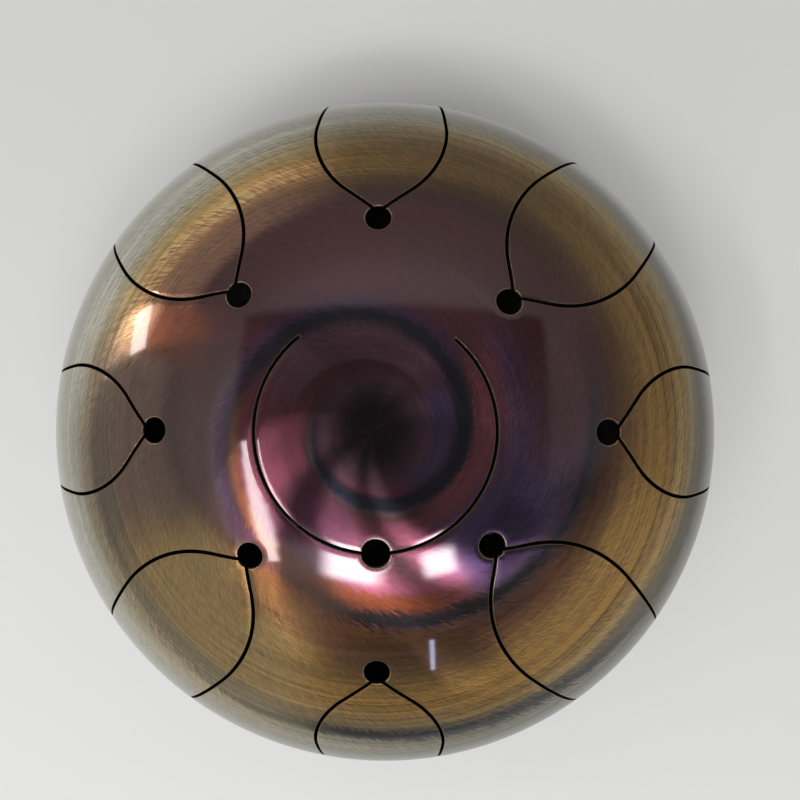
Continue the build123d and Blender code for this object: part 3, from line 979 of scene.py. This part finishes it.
def makePanel(name, place, brightness, soft=(0.0, 0.0), rise=0.0):
    (across, along), (width, depth), turn, colour = place
    lamp = bpy.data.lights.new(name, "AREA")
    lamp.shape = "RECTANGLE"
    lamp.size = width * panels["height"]
    lamp.size_y = depth * panels["height"]
    lamp.energy = brightness * pi * lamp.size * lamp.size_y
    lamp.color = colour
    if any(soft):  # fades out to its edges
        lamp.use_nodes = True
        lamp.node_tree.nodes.clear()
        shade = Shade(lamp.node_tree)
        x, y, _ = shade.node("ShaderNodeNewGeometry", out="Parametric").split()
        fade = 1.0
        for side, share in ((x, soft[0]), (y, soft[1])):
            if share:
                fade = fade * side.range(0.0, share, 1 - share, 1.0)
        glow = shade.node("ShaderNodeEmission", {}, {"Strength": fade})
        shade.node("ShaderNodeOutputLight", {}, {"Surface": glow})
    placed = bpy.data.objects.new(name, lamp)
    level = (seam + dish) * mm + panels["height"] + rise
    placed.location = (across * panels["height"], along * panels["height"], level)
    placed.rotation_euler = (0, 0, radians(turn))
    placed.visible_camera = False
    scene.collection.objects.link(placed)
    return placed


for name, place in panels["places"].items():
    makePanel(name, place, panels["brightness"])
for name, place in panels["softPlaces"].items():
    makePanel(name, place, panels["softBrightness"], panels["soft"])
makePanel("haze", panels["haze"], panels["hazeBrightness"], panels["hazeSoft"], panels["hazeRise"])
for number, (across, along, width) in enumerate(panels["strip"], 1):
    part = (across, along), (width, panels["stripLength"]), panels["stripTurn"], panels["stripColour"]
    makePanel(f"leftStrip{number}", part, panels["stripBrightness"], panels["stripSoft"])
makePanel("floorWash", panels["wash"], panels["washBrightness"]).visible_glossy = False

# the room by direction: pale walls all round, paler to the back and left, and a dark ceiling
room = dict(
    ceiling=(0.105, 0.10, 0.105),
    ceilingBox=(-0.63, 0.655, -0.47, 0.47),  # left, right, front, back as shares of height
    ceilingSoft=0.03,
    right=(0.33, 0.33, 0.325),
    back=(0.40, 0.40, 0.395),
    backTop=(0.62, 0.62, 0.61),
    backTopFrom=((0.70, 0.88), (0.0, 0.35)),  # how far up, and back
    left=(0.56, 0.56, 0.55),
    frontLeft=(0.60, 0.60, 0.59),
    front=(0.32, 0.315, 0.31),
    frontRight=(0.46, 0.455, 0.445),
    frontTop=(0.12, 0.118, 0.118),
    frontTopFrom=((0.62, 0.74), (-0.30, -0.10), (-0.22, -0.02)),  # how far up, to the front, and right
    leastRise=0.02,
    corners=((0, "right"), (24, "right"), (30, "back"), (150, "back"), (156, "left"), (205, "left"),
             (225, "frontLeft"), (247, "frontLeft"), (258, "front"), (290, "front"), (305, "frontRight"),
             (335, "frontRight"), (352, "right"), (360, "right")),
)


def makeRoom():
    world = bpy.data.worlds.new("studio")
    scene.world = world
    world.use_nodes = True
    world.node_tree.nodes.clear()
    shade = Shade(world.node_tree)
    x, y, z = shade.node("ShaderNodeTexCoord", out="Generated").split()
    up = z.atLeast(room["leastRise"])
    across, along = x / up, y / up
    left, right, front, back = room["ceilingBox"]
    soft = room["ceilingSoft"]
    overhead = (across.range(left - soft, left + soft, right - soft, right + soft)
                * along.range(front - soft, front + soft, back - soft, back + soft))
    turn = shade.maths("FRACT", shade.maths("ARCTAN2", y, x) / (2 * pi) + 1)
    walls = turn.ramp([(bearing / 360, room[name]) for bearing, name in room["corners"]])
    rise, back = room["backTopFrom"]
    backTop = z.step(*rise) * y.step(*back)
    rise, front, right = room["frontTopFrom"]
    frontTop = z.step(*rise) * (1 - along.step(*front)) * x.step(*right)
    walls = frontTop.mix(backTop.mix(walls, room["backTop"]), room["frontTop"])
    colour = overhead.mix(walls, room["ceiling"])
    glow = shade.node("ShaderNodeBackground", {}, {"Color": colour, "Strength": 1.0})
    shade.node("ShaderNodeOutputWorld", {}, {"Surface": glow})


makeRoom()
print("studio lit")

# the camera looks almost straight down from arm's length
view = dict(place=(20.17, 7.08, 518.17), tilt=-0.996, swing=-1.566, lens=37.62, sensor=36.0, nearest=0.01)
lens = bpy.data.cameras.new("camera")
lens.lens = view["lens"]
lens.sensor_width = view["sensor"]
lens.clip_start = view["nearest"]
camera = bpy.data.objects.new("camera", lens)
turned = Matrix.Rotation(radians(view["swing"]), 3, "Y") @ Matrix.Rotation(radians(view["tilt"]), 3, "X")
camera.matrix_world = Matrix.Translation(Vector(view["place"]) * mm) @ turned.transposed().to_4x4()
scene.collection.objects.link(camera)
scene.camera = camera
